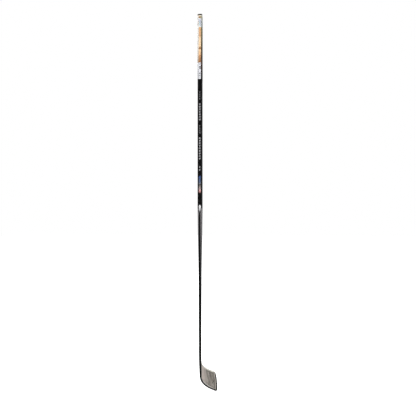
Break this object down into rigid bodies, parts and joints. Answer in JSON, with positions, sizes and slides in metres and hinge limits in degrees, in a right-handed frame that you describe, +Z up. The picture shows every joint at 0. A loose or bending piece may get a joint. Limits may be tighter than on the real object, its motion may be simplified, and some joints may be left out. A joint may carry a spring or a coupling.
{
  "type": "ice hockey stick",
  "caption": "Left-handed composite ice hockey stick: hollow tapered shaft with a capped butt end, bonded to a curved foam-cored blade.",
  "frame": {"origin": "centre of the butt end's flat top", "axes": "+Z up along the shaft, +Y the way the blade points, +X the forehand side, towards which the blade curves"},
  "size_m": [0.0781, 0.2618, 1.7146],
  "materials": {
    "cap_rubber": "matte moulded rubber",
    "hot_glue": "translucent set glue",
    "carbon_shaft": "gloss clear coat over black carbon laminate",
    "white_wrap": "gloss printed film",
    "tan_wrap": "gloss printed film, pale on one corner and dark on the other",
    "info_label": "coated paper label",
    "orange_sticker": "gloss sticker",
    "blue_grey_sticker": "gloss sticker",
    "grey_print": "print under clear coat",
    "blue_print": "print under clear coat",
    "red_print": "print under clear coat",
    "white_print": "print under clear coat",
    "silver_print": "metallic paint under clear coat",
    "black_hosel": "gloss clear coat over black carbon laminate",
    "epoxy": "set resin",
    "black_band": "gloss painted filler band",
    "taupe_blade": "satin, fibre streaks under clear coat",
    "black_edge": "satin",
    "pale_edge": "satin",
    "dark_print": "print",
    "blade_foam": "closed-cell foam",
    "rib_resin": "laminate rib"
  },
  "bodies": {
    "root": {"butt_plug": "cap_rubber", "plug_glue": "hot_glue", "shaft_tube": "carbon_shaft", "top_wrap_label": "white_wrap", "upper_wrap_film": "tan_wrap", "info_label": "info_label", "round_sticker": "orange_sticker", "panel_sticker": "blue_grey_sticker", "grey_marks": "grey_print", "blue_accent": "blue_print", "red_accent": "red_print", "white_wedge": "white_print", "fade_strip_right": "silver_print", "fade_strip_left": "silver_print", "hosel": "black_hosel", "tenon_glue": "epoxy", "joint_band": "black_band", "forehand_skin": "taupe_blade", "backhand_skin": "taupe_blade", "sole_and_toe_edge": "black_edge", "top_edge_strip": "pale_edge", "top_edge_marks": "dark_print", "upper_core": "blade_foam", "lower_core": "blade_foam", "core_rib": "rib_resin"}
  },
  "joints": []
}
